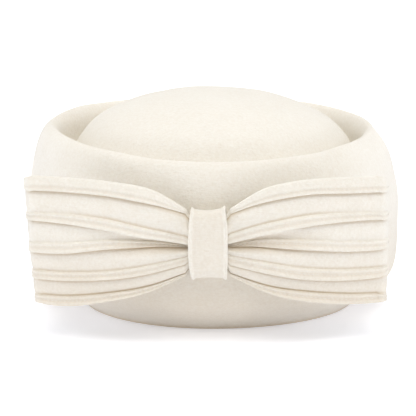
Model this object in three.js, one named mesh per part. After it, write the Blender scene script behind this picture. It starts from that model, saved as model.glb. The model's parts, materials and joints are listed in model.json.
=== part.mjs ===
// A pillbox hat of blocked wool felt with a tucked felt bow across its front.
// Millimetres, +Z up, the bow faces -Y. The hat stands on the cut edge of its head opening, at z = 0,
// and the origin is the middle of its footprint.
import * as THREE from "three";
import { LoftGeometry } from "three/addons/geometries/LoftGeometry.js";

// Felt thickness of each piece, and the gap left between pieces that are sewn together.
const bodyWall = 2.4;
const bowWall = 2.0;
const knotWall = 2.0;
const sewnGap = 0.4;
const creamFelt = { color: "#f1eadb", roughness: 0.95, metalness: 0 };

// Felt body: one blocked hood. Each row is a line round the hat, from the cut edge up the outside,
// over the rim, down into the groove and up the domed tip. A row has its reach to each of the four
// sides of the hat's axis, its height, how far that height dips at the front, and how far it is
// higher on the left side and lower on the right.
const bodyRows = [
  { row: "cut edge", left: 77.5, right: 84.5, front: 89, back: 94, height: 0, dip: 0, lean: 0 },
  { row: "edge turn", left: 80, right: 87, front: 91.5, back: 96.5, height: 3, dip: 0, lean: 0 },
  { row: "underside", left: 93.5, right: 98.5, front: 103.5, back: 107, height: 10, dip: 0, lean: 0 },
  { row: "lower wall", left: 105.5, right: 108.5, front: 115, back: 117.5, height: 21, dip: 0, lean: 0 },
  { row: "widest", left: 111.2, right: 111.2, front: 121, back: 122, height: 42, dip: 0, lean: 0 },
  { row: "upper wall", left: 110.6, right: 110.9, front: 121, back: 121.5, height: 66, dip: 0.5, lean: 0 },
  { row: "shoulder", left: 106.6, right: 106, front: 117.5, back: 118, height: 89.5, dip: 2.5, lean: 0.8 },
  { row: "rim outer", left: 102.2, right: 98.2, front: 112.5, back: 113, height: 101.7, dip: 4.2, lean: 1.1 },
  { row: "rim crest", left: 96.8, right: 94, front: 106.5, back: 107, height: 106.2, dip: 5.2, lean: 1.3 },
  { row: "rim inner", left: 92.2, right: 90.6, front: 101.5, back: 102, height: 101.6, dip: 4.6, lean: 1.2 },
  { row: "groove wall", left: 90, right: 88.6, front: 98.5, back: 99, height: 90.5, dip: 1.5, lean: 0.6 },
  { row: "groove", left: 87.2, right: 86.4, front: 95.5, back: 96, height: 84, dip: 0, lean: 0 },
  { row: "dome foot", left: 84.6, right: 84.2, front: 92.5, back: 93, height: 88.5, dip: 0, lean: 0 },
  { row: "dome side", left: 79.6, right: 79.4, front: 87, back: 87.5, height: 99, dip: 0, lean: 0 },
  { row: "dome curve", left: 67, right: 65.5, front: 72.5, back: 73, height: 111.5, dip: 0, lean: 0 },
  { row: "dome top", left: 38, right: 35, front: 40.5, back: 41, height: 122.3, dip: 0, lean: 0 },
  { row: "tip", left: 0, right: 0, front: 0, back: 0, height: 126.2, dip: 0, lean: 0 },
];
const bodyTurns = 56;
const outerStepsPerRow = 2;
const innerSteps = 24;

// Bow: a ring of felt with five sewn tucks, flattened into two loops and gathered by the knot.
const bow = {
  waist: 12, // half-length of the gathered middle
  gatherEnd: 44, // how far from the middle the gathers reach
  turnStart: 91.5, // where each loop begins to turn back
  reach: 102, // half-length of the bow
  middleDepth: 130.2, // how far the middle of the bow stands in front of the hat's axis
  recede: 27.5, // how far the ends lie behind the middle
  waistHalfDepth: 4.0, // half the distance between the front and back layers, at the waist
  loopHalfDepth: 7.5, // and along the open loops
  middleHeight: 58.5,
  loopHalfHeight: 34, // half the height of the open loops
  tuckRise: 1.8,
  waistRise: 0.8, // the knot presses the tucks flatter
  waistCrown: 2.4, // how far the gathered layers close up at their top and foot
  knotPinch: 0.29, // share of its height that the waist loses at the middle of the knot
  backDrop: 2.5, // how far the back layer's top lies below the front's, at the ends
};
// How far each loop runs past the half-length, and how far its end leans out at the top and in at the foot.
const loopEnds = {
  left: { longer: 2.6, slant: 2.9 },
  right: { longer: 1.4, slant: 0 },
};
// Distances from the middle of the bow where the table of tucks is read.
const tuckStations = { waist: 12, inner: 32, middle: 54, outer: 78, end: 102 };
// The height of each tuck's folded lower lip at those stations, from the top tuck to the lowest.
const tuckHeights = {
  left: [
    { tuck: 1, waist: 76.0, inner: 81.9, middle: 85.5, outer: 86.4, end: 85.4 },
    { tuck: 2, waist: 58.8, inner: 62.4, middle: 66.2, outer: 68.7, end: 69.0 },
    { tuck: 3, waist: 56.4, inner: 57.2, middle: 55.4, outer: 51.2, end: 50.4 },
    { tuck: 4, waist: 47.3, inner: 41.9, middle: 37.7, outer: 35.2, end: 34.8 },
    { tuck: 5, waist: 40.6, inner: 31.2, middle: 24.6, outer: 19.8, end: 20.0 },
  ],
  right: [
    { tuck: 1, waist: 76.0, inner: 83.3, middle: 86.8, outer: 86.2, end: 85.4 },
    { tuck: 2, waist: 59.4, inner: 65.0, middle: 69.2, outer: 70.7, end: 69.9 },
    { tuck: 3, waist: 57.0, inner: 57.2, middle: 55.4, outer: 53.2, end: 53.4 },
    { tuck: 4, waist: 46.8, inner: 42.3, middle: 38.1, outer: 36.4, end: 37.3 },
    { tuck: 5, waist: 40.6, inner: 30.9, middle: 24.9, outer: 21.8, end: 21.6 },
  ],
};
// Each tuck's width at the same stations.
const tuckWidths = {
  left: [
    { tuck: 1, waist: 2.6, inner: 7.8, middle: 7.8, outer: 7.9, end: 8.6 },
    { tuck: 2, waist: 4.0, inner: 5.2, middle: 6.0, outer: 5.2, end: 4.0 },
    { tuck: 3, waist: 1.2, inner: 3.4, middle: 5.4, outer: 6.2, end: 5.8 },
    { tuck: 4, waist: 4.0, inner: 4.8, middle: 4.8, outer: 4.9, end: 4.9 },
    { tuck: 5, waist: 1.3, inner: 3.2, middle: 4.8, outer: 5.8, end: 4.8 },
  ],
  right: [
    { tuck: 1, waist: 2.6, inner: 7.4, middle: 7.9, outer: 8.8, end: 9.4 },
    { tuck: 2, waist: 5.2, inner: 6.0, middle: 5.8, outer: 4.6, end: 4.0 },
    { tuck: 3, waist: 1.2, inner: 5.0, middle: 6.0, outer: 6.0, end: 5.0 },
    { tuck: 4, waist: 5.4, inner: 6.4, middle: 6.6, outer: 6.2, end: 5.2 },
    { tuck: 5, waist: 1.3, inner: 4.0, middle: 5.8, outer: 5.8, end: 4.6 },
  ],
};
// A tuck's section from its sewn upper line to its folded lip: the share of its width, and of its rise.
const tuckShape = [
  { down: 0.0, out: 0.0 },
  { down: 0.14, out: 0.72 },
  { down: 0.42, out: 0.55 },
  { down: 0.74, out: 1.0 },
  { down: 0.94, out: 0.85 },
  { down: 1.04, out: 0.0 },
];
// How each panel below a tuck stands out at the waist, and how far it folds in behind that tuck there.
const panelRows = [
  { panel: 1, puff: 0.8, fold: 0.0 },
  { panel: 2, puff: 0.0, fold: 3.6 },
  { panel: 3, puff: 0.5, fold: 0.0 },
  { panel: 4, puff: 0.5, fold: 0.0 },
];
const panelShares = [0.33, 0.67];
const foldShare = 0.67; // share of its panel by which a fold is at its deepest
const foldedTuck = 2; // index of the tuck that lies in the fold at the waist
const frontStations = [6, 9.6, 12, 17, 23, 30, 38, 48, 60, 73, 83, bow.turnStart];
const backStations = [9.6, 14, 34, 60, bow.turnStart];
const turnSteps = 5;

// Knot: a felt band round the waist of the bow, sewn to the hat behind it.
const knot = {
  halfWidth: 11.2,
  endNarrow: 1.4, // how far the half-width draws in towards the top and the foot
  footShift: 0.8, // how far the foot lies to the right
  halfHeight: 16.6, // to the inner face of the band, at its middle
  squareness: 5, // of its loop: 2 is an ellipse, more is squarer
  topFlare: 1.8, // its edges stand higher than its middle by this much at the top
  topTilt: 0.5, // its right edge by this much more, its left edge by this much less
  footFlare: 1.0, // and lower at the foot
  edgeCurl: 0.7, // and its edges curl off the bow
};
const knotAcross = [-1, -0.82, -0.4, 0, 0.4, 0.82, 1];
const knotTurns = 32;

const { lerp, smoothstep } = THREE.MathUtils;

// A cubic through the points (xs, ys), with slopes taken from the neighbouring points.
function smooth(xs, ys, x) {
  const last = xs.length - 1;
  const at = Math.min(Math.max(x, xs[0]), xs[last]);
  const i = Math.min(Math.max(xs.findIndex((value) => value >= at) - 1, 0), last - 1);
  const slope = (k) => {
    const before = Math.max(k - 1, 0);
    const after = Math.min(k + 1, last);
    return (ys[after] - ys[before]) / (xs[after] - xs[before]);
  };
  const span = xs[i + 1] - xs[i];
  const t = (at - xs[i]) / span;
  const eased = ys[i] + t * t * (3 - 2 * t) * (ys[i + 1] - ys[i]);
  return eased + span * t * (1 - t) * ((1 - t) * slope(i) - t * slope(i + 1));
}

// Felt body

// A column of the body's table at a position between its rows.
function readBody(column, row) {
  return smooth(Array.from(bodyRows.keys()), bodyRows.map((line) => line[column]), row);
}

// A point of the outside at a row position and an angle from the front.
function bodyPoint(row, angle) {
  const ahead = Math.cos(angle);
  const aside = Math.sin(angle);
  const dip = readBody("dip", row) * Math.max(ahead, 0) ** 2;
  return new THREE.Vector3(
    aside * readBody(aside > 0 ? "right" : "left", row),
    -ahead * readBody(ahead > 0 ? "front" : "back", row),
    readBody("height", row) - dip - aside * readBody("lean", row),
  );
}

// The inside of the felt: the outside moved in by the wall, square to the surface.
// The cut edge is a flat ring, and the tip moves straight down.
function bodyInside(row, angle) {
  const point = bodyPoint(row, angle);
  if (row === 0) {
    const reach = Math.hypot(point.x, point.y);
    return point.multiplyScalar((reach - bodyWall) / reach);
  }
  if (row === bodyRows.length - 1) return point.setZ(point.z - bodyWall);
  const near = 0.01;
  const up = bodyPoint(row + near, angle).sub(bodyPoint(row - near, angle));
  const round = bodyPoint(row, angle + near).sub(bodyPoint(row, angle - near));
  return point.addScaledVector(round.cross(up).normalize(), -bodyWall);
}

function bodyGeometry() {
  const tip = bodyRows.length - 1;
  const outerSteps = tip * outerStepsPerRow;
  const ring = (pointAt, row) =>
    Array.from({ length: bodyTurns }, (_, i) => pointAt(row, (-i / bodyTurns) * 2 * Math.PI));
  const sections = [];
  for (let i = outerSteps; i >= 0; i--) sections.push(ring(bodyPoint, (i / outerSteps) * tip));
  for (let i = 0; i <= innerSteps; i++) sections.push(ring(bodyInside, (i / innerSteps) * tip));
  return new LoftGeometry(sections);
}

// Bow

// The bow's ring seen from above, as stations in order round it. A station has its place, the way that
// its outside faces, its distance along the wing, and how far it belongs to the tucked front layer.
function bowPath() {
  const frameAt = (x) => {
    const tilt = Math.atan((2 * bow.recede * x) / bow.reach ** 2);
    return {
      centre: new THREE.Vector2(x, bow.recede * (x / bow.reach) ** 2 - bow.middleDepth),
      along: new THREE.Vector2(Math.cos(tilt), Math.sin(tilt)),
      ahead: new THREE.Vector2(Math.sin(tilt), -Math.cos(tilt)),
    };
  };
  const onLayer = (x, layer) => {
    const { centre, ahead } = frameAt(x);
    const open = smoothstep(Math.abs(x), bow.waist, bow.gatherEnd);
    const outwards = ahead.multiplyScalar(layer);
    const place = centre.addScaledVector(outwards, lerp(bow.waistHalfDepth, bow.loopHalfDepth, open));
    return { place, outwards, spread: Math.abs(x), front: (layer + 1) / 2 };
  };
  const onTurn = (hand, share) => {
    const { centre, along, ahead } = frameAt(hand * bow.turnStart);
    const angle = share * Math.PI;
    const outwards = ahead.multiplyScalar(Math.cos(angle)).addScaledVector(along, hand * Math.sin(angle));
    const place = centre.addScaledVector(outwards, bow.loopHalfDepth);
    return { place, outwards, spread: bow.reach, front: 1 - smoothstep(share, 0.5, 1) };
  };
  const bothWays = (xs) => [...xs.map((x) => -x).reverse(), 0, ...xs];
  const shares = Array.from({ length: turnSteps - 1 }, (_, i) => (i + 1) / turnSteps);
  return [
    ...bothWays(frontStations).map((x) => onLayer(x, 1)),
    ...shares.map((share) => onTurn(1, share)),
    ...bothWays(backStations).reverse().map((x) => onLayer(x, -1)),
    ...shares.toReversed().map((share) => onTurn(-1, share)),
  ];
}

// The tucks at one station, top first: each one's lower lip and width. The two wings blend at the waist,
// where the knot draws the tucks together.
function tucksAt({ place, spread, front }) {
  const rightShare = smoothstep(place.x, -bow.waist, bow.waist);
  const pinch = 1 - bow.knotPinch * Math.sqrt(Math.max(0, 1 - (spread / bow.waist) ** 2));
  const readTuck = (table, wing, i) => {
    const values = Object.keys(tuckStations).map((key) => table[wing][i][key]);
    return smooth(Object.values(tuckStations), values, spread);
  };
  return tuckHeights.left.map((_, i) => {
    const lower = lerp(readTuck(tuckHeights, "left", i), readTuck(tuckHeights, "right", i), rightShare);
    const width = lerp(readTuck(tuckWidths, "left", i), readTuck(tuckWidths, "right", i), rightShare);
    const drop = i === 0 ? (1 - front) * bow.backDrop * (spread / bow.reach) : 0;
    const pinched = bow.middleHeight + pinch * (lower - bow.middleHeight);
    const kept = pinch * width - drop;
    return { lower: pinched, width: kept, upper: pinched + kept };
  });
}

// One section of the bow's felt, all the way round: heights, with distances out from the middle of the wall.
function bowSection(station) {
  const gather = 1 - smoothstep(station.spread, bow.waist, bow.gatherEnd);
  const rise = lerp(bow.tuckRise, bow.waistRise, gather) * station.front;
  const tucks = tucksAt(station);
  const halfHeight = (tucks[0].upper - tucks.at(-1).lower) / 2;
  const crown = (height) => -bow.waistCrown * gather * ((height - bow.middleHeight) / halfHeight) ** 2;
  const outside = [];
  const inside = [];
  tucks.forEach((tuck, i) => {
    const folded = i === foldedTuck ? panelRows[i - 1].fold * gather * station.front : 0;
    for (const { down, out } of tuckShape) {
      const height = tuck.upper - down * tuck.width;
      outside.push({ height, out: bowWall / 2 + out * rise + crown(height) - folded });
    }
    const centre = tuck.upper - tuck.width / 2;
    inside.push({ height: centre, out: crown(centre) - bowWall / 2 - folded });
    if (i === tucks.length - 1) return;
    const { puff, fold } = panelRows[i];
    const top = outside.at(-1).height;
    for (const share of panelShares) {
      const height = lerp(top, tucks[i + 1].upper, share);
      const bulge = puff * Math.sin(Math.PI * share) - fold * Math.min(1, share / foldShare);
      const offset = crown(height) + bulge * gather * station.front;
      outside.push({ height, out: offset + bowWall / 2 });
      inside.push({ height, out: offset - bowWall / 2 });
    }
  });
  inside.unshift({ height: outside[0].height, out: outside[0].out - bowWall });
  inside.push({ height: outside.at(-1).height, out: outside.at(-1).out - bowWall });
  return [...outside, ...inside.reverse()];
}

function bowGeometry() {
  const sections = bowPath().map((station) => {
    const { place, outwards, spread } = station;
    const hand = Math.sign(place.x);
    const { longer, slant } = hand < 0 ? loopEnds.left : loopEnds.right;
    const towardsEnd = hand * (spread / bow.reach) ** 4;
    return bowSection(station).map(({ height, out }) => {
      const lean = (height - bow.middleHeight) / bow.loopHalfHeight;
      const x = place.x + outwards.x * out + (longer + slant * lean) * towardsEnd;
      return new THREE.Vector3(x, place.y + outwards.y * out, height);
    });
  });
  return new LoftGeometry([...sections, sections[0]]);
}

// Knot

function knotGeometry() {
  const halfDepth = bow.waistHalfDepth + bowWall / 2 + bow.waistRise + sewnGap;
  const squared = (value) => Math.sign(value) * Math.abs(value) ** (2 / knot.squareness);
  const point = (angle, across, wall) => {
    const up = Math.cos(angle);
    const ahead = Math.sin(angle);
    const flare = up > 0 ? knot.topFlare * across ** 2 + knot.topTilt * across : knot.footFlare * across ** 2;
    const curl = ahead > 0 ? knot.edgeCurl * across ** 4 : 0;
    const ending = Math.abs(squared(up)) ** 3;
    return new THREE.Vector3(
      across * (knot.halfWidth - knot.endNarrow * ending) + (up < 0 ? knot.footShift * ending : 0),
      -bow.middleDepth - (halfDepth + wall + curl) * squared(ahead),
      bow.middleHeight + (knot.halfHeight + wall + flare * Math.abs(up)) * squared(up),
    );
  };
  const sections = Array.from({ length: knotTurns + 1 }, (_, i) => {
    const angle = (-(i % knotTurns) / knotTurns) * 2 * Math.PI;
    return [
      ...knotAcross.map((across) => point(angle, across, knotWall)),
      ...knotAcross.toReversed().map((across) => point(angle, across, 0)),
    ];
  });
  return new LoftGeometry(sections);
}

// Assembly

function feltPiece(name, geometry) {
  const mesh = new THREE.Mesh(geometry, new THREE.MeshStandardMaterial(creamFelt));
  mesh.name = name;
  return mesh;
}

const hat = new THREE.Group();
hat.add(feltPiece("felt_body", bodyGeometry()));
hat.add(feltPiece("bow", bowGeometry()));
hat.add(feltPiece("bow_knot", knotGeometry()));

// The hat's axis stands behind the middle of the footprint, because the bow stands out at the front.
const middle = new THREE.Box3().setFromObject(hat).getCenter(new THREE.Vector3());
hat.position.set(-middle.x, -middle.y, 0);

export default hat;
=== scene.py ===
import json
import math

import bpy
import numpy as np
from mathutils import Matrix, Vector

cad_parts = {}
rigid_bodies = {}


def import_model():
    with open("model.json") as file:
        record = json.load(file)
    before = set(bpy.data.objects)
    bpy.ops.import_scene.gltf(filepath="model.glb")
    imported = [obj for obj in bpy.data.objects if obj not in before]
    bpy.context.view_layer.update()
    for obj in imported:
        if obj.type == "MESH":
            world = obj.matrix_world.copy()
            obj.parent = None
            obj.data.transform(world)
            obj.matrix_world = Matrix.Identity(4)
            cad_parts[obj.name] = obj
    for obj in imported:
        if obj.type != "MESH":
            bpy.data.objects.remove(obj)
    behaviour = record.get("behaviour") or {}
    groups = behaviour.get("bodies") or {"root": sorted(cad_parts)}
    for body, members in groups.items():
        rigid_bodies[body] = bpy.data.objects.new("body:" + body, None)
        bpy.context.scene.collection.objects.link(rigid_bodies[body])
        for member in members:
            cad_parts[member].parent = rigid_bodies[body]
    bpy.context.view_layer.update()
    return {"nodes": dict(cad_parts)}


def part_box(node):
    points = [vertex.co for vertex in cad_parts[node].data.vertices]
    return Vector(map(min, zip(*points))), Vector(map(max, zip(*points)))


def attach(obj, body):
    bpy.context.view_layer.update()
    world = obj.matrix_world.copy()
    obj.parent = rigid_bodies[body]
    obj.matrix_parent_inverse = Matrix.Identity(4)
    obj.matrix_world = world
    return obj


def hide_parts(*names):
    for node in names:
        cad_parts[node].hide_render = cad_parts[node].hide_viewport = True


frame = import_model()
mm = 0.001
print("frame loaded:", sorted(frame["nodes"]))


# sRGB hex to the linear colour that a socket wants
def toLinear(hexColour):
    parts = [int(hexColour[i:i + 2], 16) / 255 for i in (1, 3, 5)]
    return [c / 12.92 if c <= 0.04045 else ((c + 0.055) / 1.055) ** 2.4 for c in parts] + [1.0]


# adds a node, sets its options, and fills or links its inputs; a link is given as (node, output)
def addNode(tree, kind, options=None, inputs=None):
    node = tree.nodes.new(kind)
    for name, value in (options or {}).items():
        setattr(node, name, value)
    for socket, value in (inputs or {}).items():
        if isinstance(value, tuple) and isinstance(value[0], bpy.types.Node):
            tree.links.new(value[0].outputs[value[1]], node.inputs[socket])
        else:
            node.inputs[socket].default_value = value
    return node


# a cubic through the points (xs, ys), with slopes taken from the neighbouring points
def smooth(xs, ys, x):
    xs, ys = np.asarray(xs, float), np.asarray(ys, float)
    at = np.clip(x, xs[0], xs[-1])
    i = np.clip(np.searchsorted(xs, at) - 1, 0, len(xs) - 2)
    order = np.arange(len(xs))
    before, after = np.maximum(order - 1, 0), np.minimum(order + 1, len(xs) - 1)
    slope = (ys[after] - ys[before]) / (xs[after] - xs[before])
    span = xs[i + 1] - xs[i]
    t = (at - xs[i]) / span
    eased = ys[i] + t * t * (3 - 2 * t) * (ys[i + 1] - ys[i])
    return eased + span * t * (1 - t) * ((1 - t) * slope[i] - t * slope[i + 1])


def ease(x, low, high):
    t = np.clip((np.asarray(x, float) - low) / (high - low), 0, 1)
    return t * t * (3 - 2 * t)


def mix(a, b, share):
    return a + (b - a) * share


# soft lumps between -1 and 1: crossing waves of about one length, from a fixed seed
def lumps(points, size, seed, waves=7):
    draw = np.random.default_rng(seed)
    ways = draw.normal(size=(waves, 3))
    ways *= 2 * math.pi / size / np.linalg.norm(ways, axis=1)[:, None] * draw.uniform(0.7, 1.4, (waves, 1))
    phases = draw.uniform(0, 2 * math.pi, waves)
    return np.sin(points @ ways.T + phases).mean(axis=-1) * 1.8


# a closed skin from a grid of points that joins up both ways, in millimetres, turned to face outwards;
# fold says how much painted shade each point takes, from 0 to 1
def ringMesh(name, grid, fold, material):
    rings, around = grid.shape[:2]
    i, j = np.meshgrid(np.arange(rings), np.arange(around), indexing="ij")
    nextI, nextJ = (i + 1) % rings, (j + 1) % around
    corners = [i * around + j, i * around + nextJ, nextI * around + nextJ, nextI * around + j]
    faces = np.stack(corners, axis=-1).reshape(-1, 4)
    points = grid.reshape(-1, 3)
    a, b, c, d = (points[faces[:, k]] for k in range(4))
    volume = (np.cross(a, b) * c).sum() + (np.cross(a, c) * d).sum()
    if volume < 0:
        faces = faces[:, ::-1]
    mesh = bpy.data.meshes.new(name)
    mesh.from_pydata((points * mm).tolist(), [], faces.tolist())
    mesh.attributes.new("fold", "FLOAT", "POINT").data.foreach_set("value", fold.ravel())
    mesh.shade_smooth()
    mesh.materials.append(material)
    return mesh


def addPiece(name, mesh, node=None):
    piece = bpy.data.objects.new(name, mesh)
    bpy.context.scene.collection.objects.link(piece)
    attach(piece, "root")
    if node:
        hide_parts(node)
    return piece


# starts a geometry tree with named inputs, and gives the tree and its input node
def startTree(name, sizes):
    tree = bpy.data.node_groups.new(name, "GeometryNodeTree")
    tree.interface.new_socket("Geometry", in_out="INPUT", socket_type="NodeSocketGeometry")
    for label, kind in sizes.items():
        tree.interface.new_socket(label, in_out="INPUT", socket_type="NodeSocket" + kind)
    tree.interface.new_socket("Geometry", in_out="OUTPUT", socket_type="NodeSocketGeometry")
    return tree, addNode(tree, "NodeGroupInput")


# ends a geometry tree: real faces, smooth, with their material
def endTree(tree, made, material):
    real = addNode(tree, "GeometryNodeRealizeInstances", inputs={"Geometry": made})
    shaded = addNode(tree, "GeometryNodeSetShadeSmooth", inputs={"Geometry": (real, 0)})
    final = addNode(tree, "GeometryNodeSetMaterial", inputs={"Geometry": (shaded, 0), "Material": material})
    addNode(tree, "NodeGroupOutput", inputs={"Geometry": (final, 0)})


# runs a tree on a mesh, then any finishing modifiers, and gives back the plain mesh
def runTree(name, mesh, tree, values, finishing=()):
    carrier = bpy.data.objects.new(name, mesh)
    bpy.context.scene.collection.objects.link(carrier)
    nodes = carrier.modifiers.new("shape", "NODES")
    nodes.node_group = tree
    sockets = {s.name: s.identifier for s in tree.interface.items_tree if s.in_out == "INPUT"}
    for label, value in values.items():
        nodes[sockets[label]] = value
    for kind, options in finishing:
        modifier = carrier.modifiers.new(kind.lower(), kind)
        for option, value in options.items():
            setattr(modifier, option, value)
    bpy.context.view_layer.update()
    graph = bpy.context.evaluated_depsgraph_get()
    made = bpy.data.meshes.new_from_object(carrier.evaluated_get(graph), depsgraph=graph)
    made.name = name
    carrier.modifiers.clear()
    bpy.data.objects.remove(carrier)
    return made


# wool felt: fibres matted by steam and pressed on a block. It gives a dry, soft, faintly mottled cream
# with no gloss and a pale bloom of loose fibres where it turns away; warm shade in its folds, low on the walls and
# along its foot is painted into the colour
feltLook = {
    "cream": "#f6f2e9",
    "shadeCream": "#ece4d6",
    "bloom": "#fffdf8",
    "paintedShadeCream": "#bd9a5e",  # painted shade: the colour deep in a fold, low on the walls and at the foot, standing in for light gone from felt to felt
    "mottle": 26,  # broad patches, mm
    "clump": 1.7,  # matted clumps, mm
    "fibreLong": 5.0,  # fibres are finer than shows, so they are drawn this coarse, mm
    "fibreWide": 0.42,
}


def makeFelt():
    material = bpy.data.materials.new("creamWoolFelt")
    material.use_nodes = True
    tree = material.node_tree
    tree.nodes.clear()
    place = addNode(tree, "ShaderNodeTexCoord")
    patches = addNode(tree, "ShaderNodeTexNoise", {}, {
        "Vector": (place, "Object"), "Scale": 1 / (feltLook["mottle"] * mm), "Detail": 2.0})
    clumps = addNode(tree, "ShaderNodeTexNoise", {}, {
        "Vector": (place, "Object"), "Scale": 1 / (feltLook["clump"] * mm), "Detail": 4.0, "Roughness": 0.62})
    # three lots of long thin noise that cross, the matted fibres
    fibres = None
    for turn in ((0.3, 0.2, 0.5), (1.2, 0.4, 2.1), (0.5, 1.4, 1.1)):
        long, wide = 1 / (feltLook["fibreLong"] * mm), 1 / (feltLook["fibreWide"] * mm)
        laid = addNode(tree, "ShaderNodeMapping", {}, {
            "Vector": (place, "Object"), "Rotation": turn, "Scale": (long, wide, wide)})
        strand = addNode(tree, "ShaderNodeTexNoise", {}, {
            "Vector": (laid, 0), "Scale": 1.0, "Detail": 1.0, "Distortion": 0.6})
        if fibres is None:
            fibres = strand
        else:
            fibres = addNode(tree, "ShaderNodeMath", {"operation": "MAXIMUM"}, {
                0: (fibres, 0), 1: (strand, 0)})
    # the mottle of the colour: patches, clumps and fibres together
    coarse = addNode(tree, "ShaderNodeMath", {"operation": "MULTIPLY_ADD"}, {
        0: (patches, "Fac"), 1: 0.25, 2: (clumps, "Fac")})
    matted = addNode(tree, "ShaderNodeMath", {"operation": "MULTIPLY_ADD"}, {
        0: (fibres, 0), 1: 0.9, 2: (coarse, 0)})
    share = addNode(tree, "ShaderNodeMapRange", {}, {
        "Value": (matted, 0), "From Min": 0.8, "From Max": 1.5})
    mottled = addNode(tree, "ShaderNodeMix", {"data_type": "RGBA"}, {
        0: (share, 0), 6: toLinear(feltLook["shadeCream"]), 7: toLinear(feltLook["cream"])})
    # painted shade: the fold attribute draws the colour towards the deep warm cream where the felt lies in shade
    fold = addNode(tree, "ShaderNodeAttribute", {"attribute_name": "fold"})
    colour = addNode(tree, "ShaderNodeMix", {"data_type": "RGBA"}, {
        0: (fold, "Fac"), 6: (mottled, 2), 7: toLinear(feltLook["paintedShadeCream"])})
    relief = addNode(tree, "ShaderNodeMath", {"operation": "MULTIPLY_ADD"}, {
        0: (fibres, 0), 1: 0.6, 2: (clumps, "Fac")})
    bump = addNode(tree, "ShaderNodeBump", {}, {
        "Strength": 1.0, "Distance": 0.5 * mm, "Height": (relief, 0)})
    rough = addNode(tree, "ShaderNodeMapRange", {}, {
        "Value": (clumps, "Fac"), "To Min": 0.86, "To Max": 0.98})
    shader = addNode(tree, "ShaderNodeBsdfPrincipled", {}, {
        "Base Color": (colour, 2), "Roughness": (rough, 0), "Normal": (bump, 0),
        "IOR": 1.45, "Specular IOR Level": 0.18,
        "Sheen Weight": 0.35, "Sheen Roughness": 0.55, "Sheen Tint": toLinear(feltLook["bloom"])})
    addNode(tree, "ShaderNodeOutputMaterial", {}, {"Surface": (shader, 0)})
    return material


# mercerised cotton thread: two twisted plies. It gives short smooth dashes, a little warmer than the felt
threadLook = {"thread": "#eee8dc", "ply": 0.35}  # the ply in mm


def makeThread():
    material = bpy.data.materials.new("cottonThread")
    material.use_nodes = True
    tree = material.node_tree
    tree.nodes.clear()
    place = addNode(tree, "ShaderNodeTexCoord")
    plies = addNode(tree, "ShaderNodeTexWave", {"bands_direction": "DIAGONAL"}, {
        "Vector": (place, "Object"), "Scale": 0.314 / (threadLook["ply"] * mm), "Distortion": 1.5})
    bump = addNode(tree, "ShaderNodeBump", {}, {
        "Strength": 0.5, "Distance": 0.05 * mm, "Height": (plies, "Fac")})
    tint = addNode(tree, "ShaderNodeMapRange", {}, {"Value": (plies, "Fac"), "To Min": 0.9, "To Max": 1.0})
    shade = addNode(tree, "ShaderNodeHueSaturation", {}, {
        "Color": toLinear(threadLook["thread"]), "Value": (tint, 0)})
    shader = addNode(tree, "ShaderNodeBsdfPrincipled", {}, {
        "Base Color": (shade, 0), "Normal": (bump, 0), "Roughness": 0.6, "Specular IOR Level": 0.35})
    addNode(tree, "ShaderNodeOutputMaterial", {}, {"Surface": (shader, 0)})
    return material


feltMaterial = makeFelt()
threadMaterial = makeThread()
print("materials made")

# felt body: lines round the hat from the cut edge up over the rim, into the groove and up the tip, in mm.
# dip lowers a line at the front, and lean lifts it on the left and lowers it on the right
bodyShape = {
    "wall": 2.4,
    "turns": 240,
    "stepsPerRow": 7,
    "lumpSize": 38,
    "lumpDepth": 0.5,
    "edgeRound": 0.5,
    "lowShade": 0.17, "lowFrom": 70, "lowTo": 20,  # painted warm shade that grows down the wall between these heights
    "edgeShade": 0.35, "edgeHigh": 2,  # and more painted shade along the edge it stands on, in place of a contact shadow
    "columns": ("left", "right", "front", "back", "height", "dip", "lean"),
    "rows": {
        "cutEdge": (77.5, 84.5, 89, 94, 0, 0, 0),
        "edgeTurn": (80, 87, 91.5, 96.5, 3, 0, 0),
        "underside": (93.5, 98.5, 103.5, 107, 10, 0, 0),
        "lowerWall": (105.5, 108.5, 115, 117.5, 21, 0, 0),
        "widest": (111.2, 111.2, 121, 122, 42, 0, 0),
        "upperWall": (110.6, 110.9, 121, 121.5, 66, 0.5, 0),
        "shoulder": (106.6, 106, 117.5, 118, 89.5, 2.5, 0.8),
        "rimOuter": (102.2, 98.2, 112.5, 113, 101.7, 4.2, 1.1),
        "rimCrest": (96.8, 94, 106.5, 107, 106.2, 5.2, 1.3),
        "rimInner": (92.2, 90.6, 101.5, 102, 101.6, 4.6, 1.2),
        "grooveWall": (90, 88.6, 98.5, 99, 90.5, 1.5, 0.6),
        "groove": (87.2, 86.4, 95.5, 96, 84, 0, 0),
        "domeFoot": (84.6, 84.2, 92.5, 93, 88.5, 0, 0),
        "domeSide": (79.6, 79.4, 87, 87.5, 99, 0, 0),
        "domeCurve": (67, 65.5, 72.5, 73, 111.5, 0, 0),
        "domeTop": (38, 35, 40.5, 41, 122.3, 0, 0),
        "tip": (0, 0, 0, 0, 126.2, 0, 0),
    },
}
bodyTable = dict(zip(bodyShape["columns"], np.array(list(bodyShape["rows"].values()), float).T))
rowCount = len(bodyShape["rows"])


# a column of the body's table at positions between its rows
def readBody(column, row):
    return smooth(np.arange(rowCount), bodyTable[column], row)


fineRows = np.linspace(0, rowCount - 1, (rowCount - 1) * bodyShape["stepsPerRow"] + 1)
bodyLow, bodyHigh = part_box("felt_body")
reachGap = (readBody("back", fineRows).max() - readBody("front", fineRows).max()) * mm
# where the hat's axis meets the floor: the body's table is measured from here
axis = Vector(((bodyLow.x + bodyHigh.x) / 2, (bodyLow.y + bodyHigh.y - reachGap) / 2, 0))


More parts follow.
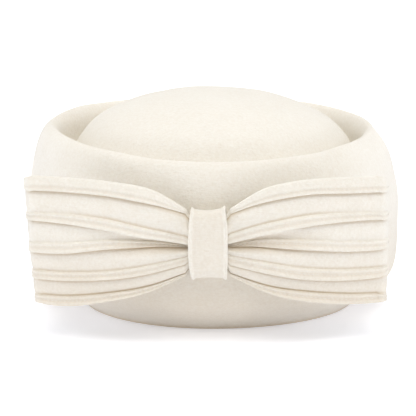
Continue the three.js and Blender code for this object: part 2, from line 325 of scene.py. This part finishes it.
# the hood's profile as loose points whose attributes say how far each line reaches
def makeProfile():
    column = {name: readBody(name, fineRows) * mm for name in bodyShape["columns"]}
    mesh = bpy.data.meshes.new("hoodProfile")
    zero = np.zeros_like(fineRows)
    mesh.from_pydata(np.stack([zero, zero, column["height"]], axis=1).tolist(), [], [])
    for name, parts in (("sideways", ("left", "right", "lean")), ("lengthways", ("front", "back", "dip"))):
        values = np.stack([column[part] for part in parts], axis=1)
        mesh.attributes.new(name, "FLOAT_VECTOR", "POINT").data.foreach_set("vector", values.ravel())
    return mesh


# an oval lathe: sweeps the profile round the axis with a reach of its own to each of the four sides
def makeHoodTree():
    tree, given = startTree("ovalFeltHood", {
        "Turns": "Int", "Axis": "Vector", "Lump Size": "Float", "Lump Depth": "Float"})
    lines = addNode(tree, "GeometryNodeAttributeDomainSize", {}, {"Geometry": (given, "Geometry")})
    columns = addNode(tree, "FunctionNodeIntegerMath", {"operation": "ADD"}, {0: (given, "Turns"), 1: 1})
    sheet = addNode(tree, "GeometryNodeMeshGrid", {}, {
        "Vertices X": (lines, "Point Count"), "Vertices Y": (columns, 0)})
    index = addNode(tree, "GeometryNodeInputIndex")
    line = addNode(tree, "FunctionNodeIntegerMath", {"operation": "DIVIDE_FLOOR"}, {
        0: (index, 0), 1: (columns, 0)})
    step = addNode(tree, "FunctionNodeIntegerMath", {"operation": "MODULO"}, {0: (index, 0), 1: (columns, 0)})
    oneTurn = addNode(tree, "ShaderNodeMath", {"operation": "DIVIDE"}, {0: 2 * math.pi, 1: (given, "Turns")})
    angle = addNode(tree, "ShaderNodeMath", {"operation": "MULTIPLY"}, {0: (step, 0), 1: (oneTurn, 0)})
    aside = addNode(tree, "ShaderNodeMath", {"operation": "SINE"}, {0: (angle, 0)})
    ahead = addNode(tree, "ShaderNodeMath", {"operation": "COSINE"}, {0: (angle, 0)})
    read = {}
    for name in ("sideways", "lengthways", "position"):
        if name == "position":
            field = addNode(tree, "GeometryNodeInputPosition")
        else:
            field = addNode(tree, "GeometryNodeInputNamedAttribute", {"data_type": "FLOAT_VECTOR"}, {"Name": name})
        taken = addNode(tree, "GeometryNodeSampleIndex", {"data_type": "FLOAT_VECTOR", "domain": "POINT"}, {
            "Geometry": (given, "Geometry"), "Value": (field, 0), "Index": (line, 0)})
        read[name] = addNode(tree, "ShaderNodeSeparateXYZ", {}, {0: (taken, 0)})
    onRight = addNode(tree, "ShaderNodeMath", {"operation": "GREATER_THAN"}, {0: (aside, 0), 1: 0.0})
    inFront = addNode(tree, "ShaderNodeMath", {"operation": "GREATER_THAN"}, {0: (ahead, 0), 1: 0.0})
    side = addNode(tree, "ShaderNodeMix", {"data_type": "FLOAT"}, {
        0: (onRight, 0), 2: (read["sideways"], "X"), 3: (read["sideways"], "Y")})
    reach = addNode(tree, "ShaderNodeMix", {"data_type": "FLOAT"}, {
        0: (inFront, 0), 2: (read["lengthways"], "Y"), 3: (read["lengthways"], "X")})
    x = addNode(tree, "ShaderNodeMath", {"operation": "MULTIPLY"}, {0: (aside, 0), 1: (side, 0)})
    forwards = addNode(tree, "ShaderNodeMath", {"operation": "MULTIPLY"}, {0: (ahead, 0), 1: (reach, 0)})
    y = addNode(tree, "ShaderNodeMath", {"operation": "MULTIPLY"}, {0: (forwards, 0), 1: -1.0})
    facing = addNode(tree, "ShaderNodeMath", {"operation": "MULTIPLY"}, {0: (ahead, 0), 1: (inFront, 0)})
    dipShare = addNode(tree, "ShaderNodeMath", {"operation": "MULTIPLY"}, {0: (facing, 0), 1: (facing, 0)})
    dip = addNode(tree, "ShaderNodeMath", {"operation": "MULTIPLY"}, {
        0: (dipShare, 0), 1: (read["lengthways"], "Z")})
    lean = addNode(tree, "ShaderNodeMath", {"operation": "MULTIPLY"}, {0: (aside, 0), 1: (read["sideways"], "Z")})
    drop = addNode(tree, "ShaderNodeMath", {"operation": "ADD"}, {0: (dip, 0), 1: (lean, 0)})
    z = addNode(tree, "ShaderNodeMath", {"operation": "SUBTRACT"}, {0: (read["position"], "Z"), 1: (drop, 0)})
    point = addNode(tree, "ShaderNodeCombineXYZ", {}, {"X": (x, 0), "Y": (y, 0), "Z": (z, 0)})
    swept = addNode(tree, "GeometryNodeSetPosition", {}, {
        "Geometry": (sheet, "Mesh"), "Position": (point, 0), "Offset": (given, "Axis")})
    joined = addNode(tree, "GeometryNodeMergeByDistance", {}, {"Geometry": (swept, 0), "Distance": 0.01 * mm})
    closed = addNode(tree, "GeometryNodeFlipFaces", {}, {"Mesh": (joined, 0)})
    # the slight unevenness of felt pulled over a block by hand, none at the edge it stands on
    where = addNode(tree, "GeometryNodeInputPosition")
    height = addNode(tree, "ShaderNodeSeparateXYZ", {}, {0: (where, 0)})
    fade = addNode(tree, "ShaderNodeMapRange", {}, {
        "Value": (height, "Z"), "From Min": 0.002, "From Max": 0.02})
    often = addNode(tree, "ShaderNodeMath", {"operation": "DIVIDE"}, {0: 1.0, 1: (given, "Lump Size")})
    noise = addNode(tree, "ShaderNodeTexNoise", {}, {"Vector": (where, 0), "Scale": (often, 0), "Detail": 1.5})
    centred = addNode(tree, "ShaderNodeMath", {"operation": "SUBTRACT"}, {0: (noise, 0), 1: 0.5})
    depth = addNode(tree, "ShaderNodeMath", {"operation": "MULTIPLY"}, {0: (centred, 0), 1: (given, "Lump Depth")})
    lump = addNode(tree, "ShaderNodeMath", {"operation": "MULTIPLY"}, {0: (depth, 0), 1: (fade, 0)})
    normal = addNode(tree, "GeometryNodeInputNormal")
    shift = addNode(tree, "ShaderNodeVectorMath", {"operation": "SCALE"}, {0: (normal, 0), "Scale": (lump, 0)})
    uneven = addNode(tree, "GeometryNodeSetPosition", {}, {"Geometry": (closed, 0), "Offset": (shift, 0)})
    # painted shade, stored as fold: darker down the lower wall and along the edge it stands on
    lowShade = addNode(tree, "ShaderNodeMapRange", {}, {
        "Value": (height, "Z"), "From Min": bodyShape["lowFrom"] * mm, "From Max": bodyShape["lowTo"] * mm,
        "To Max": bodyShape["lowShade"]})
    edgeShade = addNode(tree, "ShaderNodeMapRange", {}, {
        "Value": (height, "Z"), "From Min": bodyShape["edgeHigh"] * mm, "From Max": 0.0,
        "To Max": bodyShape["edgeShade"]})
    shade = addNode(tree, "ShaderNodeMath", {"operation": "ADD"}, {0: (lowShade, 0), 1: (edgeShade, 0)})
    shaded = addNode(tree, "GeometryNodeStoreNamedAttribute", {"data_type": "FLOAT", "domain": "POINT"}, {
        "Geometry": (uneven, 0), "Name": "fold", "Value": (shade, 0)})
    endTree(tree, (shaded, 0), feltMaterial)
    return tree


hoodSizes = {
    "Turns": bodyShape["turns"],
    "Axis": axis,
    "Lump Size": bodyShape["lumpSize"] * mm,
    "Lump Depth": 4 * bodyShape["lumpDepth"] * mm,
}
hoodFinish = (
    ("SOLIDIFY", {"thickness": bodyShape["wall"] * mm, "offset": -1.0, "use_even_offset": True}),
    ("BEVEL", {"width": bodyShape["edgeRound"] * mm, "segments": 2, "limit_method": "ANGLE",
               "angle_limit": math.radians(50)}),
)
bodyMesh = runTree("felt_hood", makeProfile(), makeHoodTree(), hoodSizes, hoodFinish)
addPiece("felt_hood", bodyMesh, "felt_body")
print("felt body:", len(bodyMesh.polygons), "faces")

# bow: one ring of felt with sewn tucks, flattened into two loops and gathered at the waist, in mm
bowShape = {
    "wall": 2.0,
    "waist": 12, "gatherEnd": 44, "turnStart": 91.5, "reach": 102,  # distances from the middle
    "middleDepth": 130.2, "recede": 27.5,  # in front of the hat's axis, and how far the ends fall back
    "waistHalfDepth": 4.0, "loopHalfDepth": 7.5,  # half of the distance between the two layers
    "middleHeight": 58.5, "loopHalfHeight": 34,
    "tuckRise": 2.5, "waistRise": 0.8, "endFlatten": 0.8,  # the tucks flatten where the loop turns back
    "waistCrown": 2.4, "wingCrown": 4.8,  # the felt curves back at its top and foot
    "knotPinch": 0.29,  # share of its height that it loses in the knot
    "backDrop": 7.5,  # how much lower the back layer's top edge is at the ends
    "longer": {"left": 2.6, "right": 1.4}, "slant": {"left": 2.9, "right": 0.0},  # of the loops' ends
    "foldDepth": 4.0, "foldEnd": 68,  # the panel that folds in behind its tuck near the knot
    "puffs": (1.3, 0.0, 0.9, 0.7),  # how far the panels swell near the knot
    "swell": 0.45,  # and all along
    "step": 1.0, "turnSteps": 22, "backStep": 3.0, "panelSteps": 8,
    "lumpSize": 17, "lumpDepth": 0.2,
}
tuckStations = (12, 32, 54, 78, 102)
# height of each tuck's lower lip at those stations, top tuck first
tuckHeights = {
    "left": (
        (76.0, 81.9, 85.5, 86.4, 85.4),
        (58.8, 62.4, 66.2, 68.7, 69.0),
        (56.4, 57.2, 55.4, 51.2, 50.4),
        (47.3, 41.9, 37.7, 35.2, 34.8),
        (40.6, 31.2, 24.6, 19.8, 20.0),
    ),
    "right": (
        (76.0, 83.3, 86.8, 86.2, 85.4),
        (59.4, 65.0, 69.2, 70.7, 69.9),
        (57.0, 57.2, 55.4, 53.2, 53.4),
        (46.8, 42.3, 38.1, 36.4, 37.3),
        (40.6, 30.9, 24.9, 21.8, 21.6),
    ),
}
# each tuck's width at the same stations
tuckWidths = {
    "left": (
        (2.6, 7.8, 7.8, 7.9, 8.6),
        (4.0, 5.2, 6.0, 5.2, 4.0),
        (1.2, 3.4, 5.4, 6.2, 5.8),
        (4.0, 4.8, 4.8, 4.9, 4.9),
        (1.3, 3.2, 4.8, 5.8, 4.8),
    ),
    "right": (
        (2.6, 7.4, 7.9, 8.8, 9.4),
        (5.2, 6.0, 5.8, 4.6, 4.0),
        (1.2, 5.0, 6.0, 6.0, 5.0),
        (5.4, 6.4, 6.6, 6.2, 5.2),
        (1.3, 4.0, 5.8, 5.8, 4.6),
    ),
}
# sections from the sewn upper line down to the folded lip and in under it: share of the width, share of the rise
hemSection = (
    (0.02, 0.15), (0.06, 0.44), (0.14, 0.56), (0.28, 0.6), (0.41, 0.63), (0.47, 0.73), (0.53, 0.83), (0.59, 0.75),
    (0.65, 0.63), (0.71, 0.62), (0.78, 0.74), (0.84, 0.9), (0.9, 1.01), (0.955, 0.99), (0.99, 0.8), (1.0, 0.5),
    (0.98, 0.22), (0.95, 0.0),
)
tuckSection = (
    (-0.02, 0.0), (0.015, 0.24), (0.05, 0.46), (0.11, 0.6), (0.18, 0.62), (0.27, 0.56), (0.37, 0.46), (0.47, 0.44),
    (0.58, 0.52), (0.69, 0.72), (0.79, 0.92), (0.87, 1.02), (0.945, 0.99), (0.99, 0.8), (1.0, 0.5), (0.975, 0.22),
    (0.93, 0.0),
)
stitchRow = {"hem": 9, "tuck": 7}  # the lowest row of each section, where the thread lies
# how much painted shade the felt takes: under a lip, on the panel below it, along the stitches,
# low on the wings between two heights in mm, and for each mm of a tuck or panel folded in and of a crease
bowShade = {
    "underLip": 0.7, "belowLip": 0.4, "stitches": 0.1,
    "low": 0.13, "lowHeights": (22, 66),
    "tuckPerMm": 0.05, "panelPerMm": 0.06, "creasePerMm": 0.8,
}
# the crease above each tuck, in mm: its depth near the knot and along the wing
creases = ((0.0, 0.0), (0.45, 0.0), (0.0, 0.0), (0.3, 0.3), (0.75, 0.5))
foldedTuck = 2  # the tuck, counted from 0 at the top, that folds in


# the bow's ring from above: place, outward way, distance along the wing, how far behind the front, and end turn
def makeBowPath():
    shape = bowShape
    turnStart = shape["turnStart"]
    frontXs = np.linspace(-turnStart, turnStart, int(2 * turnStart / shape["step"]) + 1)
    backXs = np.linspace(turnStart, -turnStart, int(2 * turnStart / shape["backStep"]) + 1)
    shares = np.arange(1, shape["turnSteps"]) / shape["turnSteps"]
    hands = [np.full_like(shares, 1.0), np.full_like(shares, -1.0)]
    x = np.concatenate([frontXs, hands[0] * turnStart, backXs, hands[1] * turnStart])
    turned = np.concatenate([np.zeros_like(frontXs), shares, np.ones_like(backXs), shares[::-1]]) * math.pi
    onTurn = np.concatenate([frontXs * 0, hands[0], backXs * 0, hands[1]])
    tilt = np.arctan(2 * shape["recede"] * x / shape["reach"] ** 2)
    centre = np.stack([x, shape["recede"] * (x / shape["reach"]) ** 2 - shape["middleDepth"]], axis=1)
    along = np.stack([np.cos(tilt), np.sin(tilt)], axis=1)
    ahead = np.stack([np.sin(tilt), -np.cos(tilt)], axis=1)
    outwards = ahead * np.cos(turned)[:, None] + along * (onTurn * np.sin(turned))[:, None]
    spread = np.where(onTurn == 0, np.abs(x), shape["reach"])
    opened = ease(spread, shape["waist"], shape["gatherEnd"])
    place = centre + outwards * mix(shape["waistHalfDepth"], shape["loopHalfDepth"], opened)[:, None]
    return place, outwards, spread, (1 - np.cos(turned)) / 2, np.abs(onTurn) * np.sin(turned)


# each tuck's lower lip and width at every station, top tuck first
def readTucks(place, spread, behind):
    shape = bowShape
    rightShare = ease(place[:, 0], -shape["waist"], shape["waist"])
    pinch = 1 - shape["knotPinch"] * np.sqrt(np.maximum(0, 1 - (spread / shape["waist"]) ** 2))
    lowers, widths = [], []
    for i in range(len(tuckHeights["left"])):
        sides = [[smooth(tuckStations, table[side][i], spread) for side in ("left", "right")]
                 for table in (tuckHeights, tuckWidths)]
        lower, width = (mix(*side, rightShare) for side in sides)
        drop = behind * shape["backDrop"] * spread / shape["reach"] if i == 0 else 0
        lowers.append(shape["middleHeight"] + pinch * (lower - shape["middleHeight"]))
        widths.append(pinch * width - drop)
    return np.array(lowers), np.array(widths)


# the felt of the bow as a grid of points, with the rows where thread lies and the way they face
def makeBowGrid():
    shape = bowShape
    place, outwards, spread, behind, turning = makeBowPath()
    front = 1 - ease(behind, 0.5, 1.0)
    lowers, widths = readTucks(place, spread, behind)
    uppers = lowers + widths
    half = shape["wall"] / 2
    gather = 1 - ease(spread, shape["waist"], shape["gatherEnd"])
    nearKnot = 1 - ease(spread, shape["gatherEnd"], shape["turnStart"])
    rise = mix(shape["tuckRise"], shape["waistRise"], gather) * front * (1 - shape["endFlatten"] * turning)
    fold = shape["foldDepth"] * (1 - ease(spread, shape["waist"] * 1.6, shape["foldEnd"])) * front
    halfHeight = (uppers[0] - lowers[-1]) / 2
    wing = shape["wingCrown"] * (1 - gather) * front * (1 - turning)
    flat = front * (1 - turning)  # the front of the wings, short of the turns

    # painted shade, growing towards the foot of the wings
    def lowShade(height):
        return bowShade["low"] * (1 - ease(height, *bowShade["lowHeights"])) * front

    # how far the felt curves in at this height
    def crown(height):
        lean = ((height - shape["middleHeight"]) / halfHeight) ** 2
        return wing * (0.4 - lean) - shape["waistCrown"] * gather * lean

    outside, inside, threadRows = [], [], []  # rows of height, way out, and painted shade
    none = np.zeros_like(spread)
    # the folded top edge, from the inner face over to the hem
    for down, out in ((1.1, -1.0), (0.35, -0.85), (0.02, -0.3)):
        height = uppers[0] - down * np.minimum(1, widths[0] / 3)
        outside.append((height, out * half + crown(height), none))
    for i in range(len(lowers)):
        section = hemSection if i == 0 else tuckSection
        sunk = fold if i == foldedTuck else 0
        sewn = stitchRow["hem" if i == 0 else "tuck"]
        threadRows.append(len(outside) + sewn)
        for step, (down, out) in enumerate(section):
            height = uppers[i] - down * widths[i]
            # painted shade under each lip and along the stitch groove
            shade = bowShade["underLip"] * ease(down - out * 0.5, 0.55, 0.95)
            if abs(step - sewn) < 2:
                shade = shade + bowShade["stitches"]
            paintedShade = shade * flat + bowShade["tuckPerMm"] * sunk + lowShade(height)
            outside.append((height, half + out * rise + crown(height) - sunk, paintedShade))
        centre = uppers[i] - widths[i] / 2
        inside.append((centre, -half + crown(centre) - sunk, none))
        if i == len(lowers) - 1:
            break
        top, foot = outside[-1][0], uppers[i + 1] + 0.05 * widths[i + 1]
        sinkTop = fold if i == foldedTuck else 0
        sinkFoot = fold if i + 1 == foldedTuck else 0
        crease = mix(creases[i + 1][1], creases[i + 1][0], nearKnot) * flat
        for k in range(shape["panelSteps"]):
            share = (k + 0.7) / (shape["panelSteps"] - 0.1)
            height = mix(top, foot, share)
            swell = (shape["swell"] * front + shape["puffs"][i] * gather * front) * math.sin(math.pi * share)
            sink = sinkTop * (1 - ease(share, 0.0, 0.5)) + sinkFoot * ease(share, 0.0, 0.62)
            pressed = crease * ease(share, 0.86, 0.97)
            # painted shade on the panel just below a lip, where it folds in and in a crease
            shade = bowShade["belowLip"] * (1 - ease(share, 0.02, 0.22)) * flat + lowShade(height)
            paintedShade = shade + bowShade["panelPerMm"] * sink + bowShade["creasePerMm"] * pressed
            outside.append((height, half + crown(height) + swell - sink - pressed, paintedShade))
            if k % 2 == 0:
                inside.append((height, -half + crown(height) + swell - sink, none))
    # the foot edge, rolled under the lowest lip
    for down, out in ((0.0, -0.35), (0.18, -0.9)):
        height = lowers[-1] + down + 0.03 * widths[-1]
        outside.append((height, out * half + crown(height), none))
    heights, outs, paintedShades = (np.stack(column, axis=1) for column in zip(*(outside + inside[::-1])))
    lean = (heights - shape["middleHeight"]) / shape["loopHalfHeight"]
    onLeft = place[:, :1] < 0
    longer = np.where(onLeft, -shape["longer"]["left"], shape["longer"]["right"])
    slant = np.where(onLeft, -shape["slant"]["left"], shape["slant"]["right"])
    towardsEnd = (spread[:, None] / shape["reach"]) ** 4
    grid = np.stack([
        place[:, :1] + outwards[:, :1] * outs + (longer + slant * lean) * towardsEnd,
        place[:, 1:] + outwards[:, 1:] * outs,
        heights,
    ], axis=-1)
    uneven = lumps(grid, shape["lumpSize"], 5) * shape["lumpDepth"] * (1 - 0.7 * gather)[:, None]
    grid[..., :2] += outwards[:, None, :] * uneven[..., None]
    grid += np.array(axis) / mm
    return grid, np.clip(paintedShades, 0, 1), outwards, spread, front, threadRows


bowGrid, bowPaintedShades, bowOutwards, bowSpread, bowFront, threadRows = makeBowGrid()
bowMesh = ringMesh("tucked_bow", bowGrid, bowPaintedShades, feltMaterial)
addPiece("tucked_bow", bowMesh, "bow")
print("bow:", len(bowMesh.polygons), "faces")

# topstitching along every tuck, in mm
stitch = {"pitch": 2.6, "length": 1.8, "thick": 0.46, "start": 15, "lift": 0.02, "seed": 3}


# the lines that the thread follows, with the way that the felt faces along them
def makeStitchLines():
    wings = [np.where((bowFront > 0.9) & (bowSpread > stitch["start"]) & (sign * bowGrid[:, 0, 0] > 0))[0]
             for sign in (-1, 1)]
    points, facing, edges = [], [], []
    for row in threadRows:
        for wing in wings:
            wing = wing[np.argsort(bowGrid[wing, row, 0])]
            start = len(points)
            flat = np.pad(bowOutwards[wing], ((0, 0), (0, 1)))
            points.extend((bowGrid[wing, row] + flat * stitch["lift"]) * mm)
            facing.extend(flat)
            edges.extend((k, k + 1) for k in range(start, len(points) - 1))
    mesh = bpy.data.meshes.new("stitchLines")
    mesh.from_pydata([list(p) for p in points], edges, [])
    mesh.attributes.new("facing", "FLOAT_VECTOR", "POINT").data.foreach_set("vector", np.array(facing).ravel())
    return mesh


# lays a short length of thread at every pitch along the lines
def makeStitchTree():
    tree, given = startTree("topstitching", {
        "Pitch": "Float", "Length": "Float", "Thick": "Float", "Seed": "Int"})
    line = addNode(tree, "GeometryNodeMeshToCurve", {}, {"Mesh": (given, "Geometry")})
    spaced = addNode(tree, "GeometryNodeResampleCurve", {"mode": "LENGTH"}, {
        "Curve": (line, 0), "Length": (given, "Pitch")})
    tangent = addNode(tree, "GeometryNodeInputTangent")
    facing = addNode(tree, "GeometryNodeInputNamedAttribute", {"data_type": "FLOAT_VECTOR"}, {"Name": "facing"})
    along = addNode(tree, "FunctionNodeAlignRotationToVector", {"axis": "X"}, {"Vector": (tangent, 0)})
    upright = addNode(tree, "FunctionNodeAlignRotationToVector", {"axis": "Z", "pivot_axis": "X"}, {
        "Rotation": (along, 0), "Vector": (facing, 0)})
    halfLength = addNode(tree, "ShaderNodeMath", {"operation": "MULTIPLY"}, {0: (given, "Length"), 1: 0.5})
    halfThick = addNode(tree, "ShaderNodeMath", {"operation": "MULTIPLY"}, {0: (given, "Thick"), 1: 0.5})
    vary = addNode(tree, "FunctionNodeRandomValue", {"data_type": "FLOAT"}, {
        2: 0.88, 3: 1.1, "Seed": (given, "Seed")})
    varied = addNode(tree, "ShaderNodeMath", {"operation": "MULTIPLY"}, {0: (halfLength, 0), 1: (vary, 1)})
    size = addNode(tree, "ShaderNodeCombineXYZ", {}, {"X": (varied, 0), "Y": (halfThick, 0), "Z": (halfThick, 0)})
    thread = addNode(tree, "GeometryNodeMeshUVSphere", {}, {"Segments": 8, "Rings": 6, "Radius": 1.0})
    sewn = addNode(tree, "GeometryNodeInstanceOnPoints", {}, {
        "Points": (spaced, 0), "Instance": (thread, "Mesh"), "Rotation": (upright, 0), "Scale": (size, 0)})
    endTree(tree, (sewn, 0), threadMaterial)
    return tree


stitchSizes = {
    "Pitch": stitch["pitch"] * mm, "Length": stitch["length"] * mm,
    "Thick": stitch["thick"] * mm, "Seed": stitch["seed"],
}
stitchMesh = runTree("bow_topstitching", makeStitchLines(), makeStitchTree(), stitchSizes)
addPiece("bow_topstitching", stitchMesh)
print("stitches:", len(stitchMesh.polygons), "faces")

# knot: a felt band round the waist, its long edges folded under, in mm
knotShape = {
    "wall": 2.0, "sewnGap": 0.4,
    "halfWidth": 11.2, "endNarrow": 1.4, "footShift": 0.8,  # the band draws in towards its top and foot
    "halfHeight": 16.6, "squareness": 5.0,
    "topFlare": 1.8, "topTilt": 0.5, "footFlare": 1.0, "edgeCurl": 0.7,
    "beadAt": 0.9, "beadRise": 0.6, "beadWide": 0.065,  # the folded edge, as shares of the half-width
    "grooveAt": 0.76, "grooveDepth": 0.18, "grooveWide": 0.08,  # and the hollow beside it
    "turns": 150, "lumpSize": 14, "lumpDepth": 0.15, "faceShade": 0.07,
}


def makeKnotGrid():
    shape = knotShape
    halfDepth = bowShape["waistHalfDepth"] + bowShape["wall"] / 2 + bowShape["waistRise"] + shape["sewnGap"]
    angle = np.linspace(0, 2 * math.pi, shape["turns"], endpoint=False)[:, None]
    up, ahead = np.cos(angle), np.sin(angle)

    def squared(value):
        return np.sign(value) * np.abs(value) ** (2 / shape["squareness"])

    # across the band: outer face, one rounded edge, inner face, the other rounded edge
    face = np.linspace(-0.97, 0.97, 61)
    bead = shape["beadRise"] * np.exp(-((np.abs(face) - shape["beadAt"]) / shape["beadWide"]) ** 2)
    groove = shape["grooveDepth"] * np.exp(-((np.abs(face) - shape["grooveAt"]) / shape["grooveWide"]) ** 2)
    outer = [(a, shape["wall"] + b) for a, b in zip(face, bead - groove)]
    edge = [(0.995, shape["wall"] * 0.92), (1.0, shape["wall"] * 0.55), (0.99, shape["wall"] * 0.18)]
    inner = [(a, 0.0) for a in np.linspace(0.95, -0.95, 13)]
    section = np.array(outer + edge + inner + [(-a, w) for a, w in edge[::-1]])
    across, wall = section[:, 0][None, :], section[:, 1][None, :]
    topFlare = shape["topFlare"] * across ** 2 + shape["topTilt"] * across
    flare = np.where(up > 0, topFlare, shape["footFlare"] * across ** 2) * np.abs(up)
    curl = np.where(ahead > 0, shape["edgeCurl"] * across ** 4, 0)
    ending = np.abs(squared(up)) ** 3
    shift = np.where(up < 0, shape["footShift"] * ending, 0)
    grid = np.stack([
        across * (shape["halfWidth"] - shape["endNarrow"] * ending) + shift,
        -bowShape["middleDepth"] - (halfDepth + wall + curl) * squared(ahead),
        bowShape["middleHeight"] + (shape["halfHeight"] + wall + flare) * squared(up),
    ], axis=-1)
    grid[..., 1] += lumps(grid, shape["lumpSize"], 11) * shape["lumpDepth"]
    # painted shade: the face between the folded edges is a little darker, as if in their shade
    shade = shape["faceShade"] * (1 - ease(np.abs(across), 0.74, 0.84)) * (ahead > 0)
    return grid + np.array(axis) / mm, shade


knotMesh = ringMesh("felt_knot", *makeKnotGrid(), feltMaterial)
addPiece("felt_knot", knotMesh, "bow_knot")
print("knot:", len(knotMesh.polygons), "faces")

# stage: a plain pale floor, faintly lit from below like a light table
floorSide = 12.0
floorGlow = 0.26


def makeFloor():
    material = bpy.data.materials.new("palePaper")
    material.use_nodes = True
    shader = material.node_tree.nodes["Principled BSDF"]
    shader.inputs["Base Color"].default_value = toLinear("#f5f6fa")  # near white, a touch cool
    shader.inputs["Roughness"].default_value = 0.9
    shader.inputs["Emission Color"].default_value = toLinear("#f6f8ff")
    shader.inputs["Emission Strength"].default_value = floorGlow
    half = floorSide / 2
    mesh = bpy.data.meshes.new("floor")
    mesh.from_pydata([(-half, -half, 0), (half, -half, 0), (half, half, 0), (-half, half, 0)], [], [(0, 1, 2, 3)])
    mesh.materials.append(material)
    floor = bpy.data.objects.new("floor", mesh)
    bpy.context.scene.collection.objects.link(floor)


makeFloor()

# soft studio light: broad lamps far off, overhead, in front, behind and at each side, in a dim room.
# each has its bearing from the front (to the right is positive) and its height in degrees, its breadth as seen
# from the hat in degrees, its strength and its colour
roomLight = {"colour": "#ffffff", "strength": 0.04}
lamps = {
    "overheadLamp": {"bearing": 0, "height": 78, "breadth": 50, "strength": 0.9, "colour": "#fffdf8"},
    "frontLamp": {"bearing": 4, "height": 48, "breadth": 46, "strength": 1.12, "colour": "#fffbf3"},
    "backLamp": {"bearing": 180, "height": 50, "breadth": 50, "strength": 1.3, "colour": "#f8fbff"},
    "leftLamp": {"bearing": -84, "height": 22, "breadth": 50, "strength": 1.35, "colour": "#f2f6ff"},
    "rightLamp": {"bearing": 84, "height": 22, "breadth": 50, "strength": 1.35, "colour": "#f2f6ff"},
}


def makeLight():
    scene = bpy.context.scene
    world = bpy.data.worlds.new("room")
    world.use_nodes = True
    background = world.node_tree.nodes["Background"]
    background.inputs["Color"].default_value = toLinear(roomLight["colour"])
    background.inputs["Strength"].default_value = roomLight["strength"]
    scene.world = world
    scene.view_settings.view_transform = "Standard"
    for name, lamp in lamps.items():
        light = bpy.data.lights.new(name, "SUN")
        light.angle = math.radians(lamp["breadth"])
        light.energy = lamp["strength"]
        light.color = toLinear(lamp["colour"])[:3]
        bearing, height = math.radians(lamp["bearing"]), math.radians(lamp["height"])
        level = math.cos(height)
        source = Vector((math.sin(bearing) * level, -math.cos(bearing) * level, math.sin(height)))
        lampObject = bpy.data.objects.new(name, light)
        lampObject.rotation_mode = "QUATERNION"
        lampObject.rotation_quaternion = (-source).to_track_quat("-Z", "Y")
        scene.collection.objects.link(lampObject)


makeLight()

# camera: a long lens from a little above, placed so that the hat's axis meets the floor at this pixel
photo = {
    "frame": 416, "pixelsPerMm": 1.65, "axisPixel": (213, 296.3),
    "distance": 2.0, "elevation": 12.2, "azimuth": 1.2, "sensor": 36,
}


def makeCamera():
    turn, rise = math.radians(photo["azimuth"]), math.radians(photo["elevation"])
    back = Vector((math.sin(turn) * math.cos(rise), -math.cos(turn) * math.cos(rise), math.sin(rise)))
    right = Vector((math.cos(turn), math.sin(turn), 0))
    above = back.cross(right)
    focalPixels = photo["pixelsPerMm"] * photo["distance"] / mm
    offset = [(pixel - photo["frame"] / 2) / focalPixels for pixel in photo["axisPixel"]]
    look = -back - right * offset[0] + above * offset[1]
    data = bpy.data.cameras.new("camera")
    data.sensor_width = photo["sensor"]
    data.lens = photo["sensor"] * focalPixels / photo["frame"]
    camera = bpy.data.objects.new("camera", data)
    camera.location = axis + back * photo["distance"]
    camera.rotation_mode = "QUATERNION"
    camera.rotation_quaternion = look.to_track_quat("-Z", "Y")
    bpy.context.scene.collection.objects.link(camera)
    bpy.context.scene.camera = camera


makeCamera()
print("stage, light and camera set")
